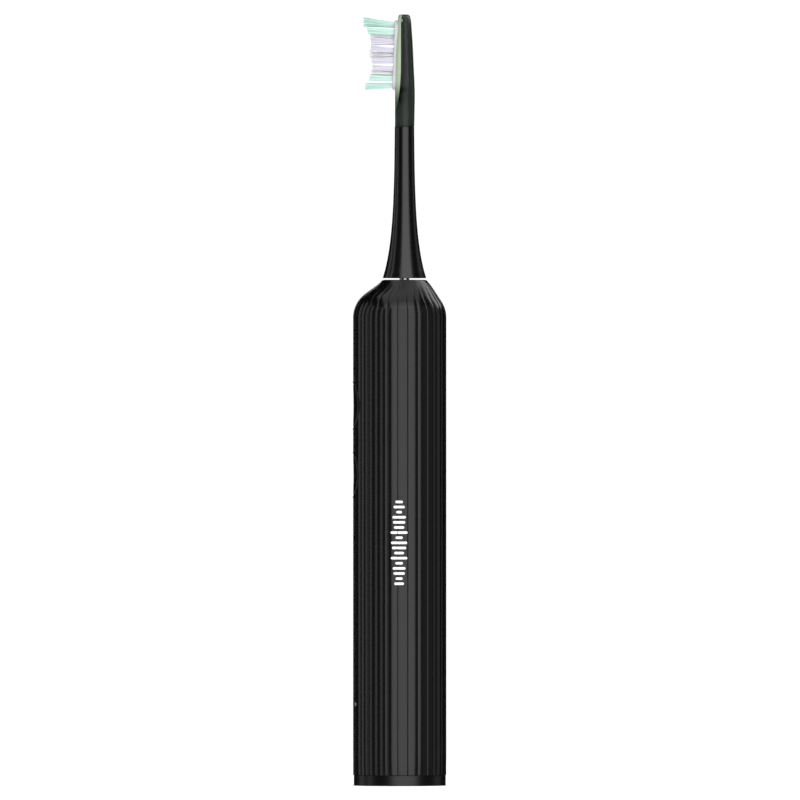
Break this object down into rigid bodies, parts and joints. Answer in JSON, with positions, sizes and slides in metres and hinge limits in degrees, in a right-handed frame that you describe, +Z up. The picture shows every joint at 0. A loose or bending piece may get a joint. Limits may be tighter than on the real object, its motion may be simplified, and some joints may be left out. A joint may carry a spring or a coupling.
{
  "type": "electric toothbrush",
  "caption": "Upright sonic toothbrush: fluted round handle with a flat base, press buttons and a charging socket, and a slim brush head that pulls up off the drive shaft.",
  "frame": {"origin": "centre of the base, on the surface that the handle stands on", "axes": "+Z up along the handle towards the brush head; -X is the front, the side that the bristles and the two buttons face; +Y completes a right-handed frame"},
  "size_m": [0.028, 0.028, 0.2304],
  "materials": {
    "shell": "satin moulded",
    "cap": "satin moulded",
    "button": "soft touch",
    "rubber": "matt",
    "sleeve": "semi-gloss",
    "smoke": "smoke tinted, translucent",
    "rim": "pale green, translucent",
    "plate": "milky translucent",
    "green_bristle": "nylon filament",
    "white_bristle": "nylon filament",
    "lavender_bristle": "nylon filament",
    "steel": "ground",
    "can": "nickel plated",
    "nickel": "plain strip",
    "magnet": "coated",
    "copper": "copper and sintered bronze",
    "board": "solder mask",
    "chip": "moulded",
    "led": "clear epoxy",
    "frame": "natural moulded",
    "cell": "plastic wrapped can",
    "foam": "foam",
    "clear": "clear",
    "red_wire": "insulation",
    "black_wire": "insulation"
  },
  "bodies": {
    "handle": {"handle_shell": "shell", "base_cap": "cap", "base_seal_ring": "rubber", "coil_bobbin": "frame", "charging_coil": "copper", "coil_lead_left": "red_wire", "coil_lead_right": "black_wire", "inner_frame": "frame", "circuit_board": "board", "microcontroller": "chip", "charge_controller": "chip", "button_membrane": "rubber", "battery_light_guide": "clear", "battery_led_bar": "led", "battery_tab_lower": "nickel", "battery_tab_upper": "nickel", "motor_mount_boot": "rubber", "board_screw_lower": "steel", "board_screw_upper": "steel", "power_switch": "chip", "mode_switch": "chip", "battery_pad": "foam", "battery_cell": "cell", "motor_can": "can", "motor_front_plate": "can", "motor_rear_plate": "can", "front_bearing": "copper", "rear_bearing": "copper", "stator_core": "magnet", "motor_coil": "copper", "seal_clamp_ring": "frame", "shaft_seal": "rubber", "motor_lead_left": "red_wire", "motor_lead_right": "black_wire", "motor_screw_left": "steel", "motor_screw_right": "steel"},
    "power_button": {"power_button": "button", "power_plunger": "frame"},
    "mode_button": {"mode_button": "button", "mode_plunger": "frame"},
    "drive_rotor": {"drive_shaft": "steel", "rotor_hub": "steel", "rotor_magnet_front": "magnet", "rotor_magnet_back": "magnet"},
    "brush_head": {"neck_sleeve": "sleeve", "coupling_insert": "frame", "shaft_clip": "steel", "head_stem": "smoke", "head_front_frame": "rim", "bristle_plate": "plate", "green_tufts_tip": "green_bristle", "white_tufts_upper": "white_bristle", "lavender_tufts_upper": "lavender_bristle", "white_tufts_middle": "white_bristle", "lavender_tufts_lower": "lavender_bristle", "white_tufts_lower": "white_bristle", "green_tufts_heel": "green_bristle"}
  },
  "joints": [
    {"name": "power_button_press", "type": "slide", "parent": "handle", "child": "power_button", "axis": [1, 0, 0], "range_m": [0, 0.0004], "stiffness_N_per_m": 1000},
    {"name": "mode_button_press", "type": "slide", "parent": "handle", "child": "mode_button", "axis": [1, 0, 0], "range_m": [0, 0.0004], "stiffness_N_per_m": 1000},
    {"name": "shaft_oscillation", "type": "hinge", "parent": "handle", "child": "drive_rotor", "pos_m": [0.0014, 0, 0.13], "axis": [0, 0, 1], "range_deg": [-6, 6], "stiffness_Nm_per_rad": 0.2},
    {"name": "head_pull_off", "type": "slide", "parent": "drive_rotor", "child": "brush_head", "axis": [0, 0, 1], "range_m": [0, 0.024]}
  ]
}
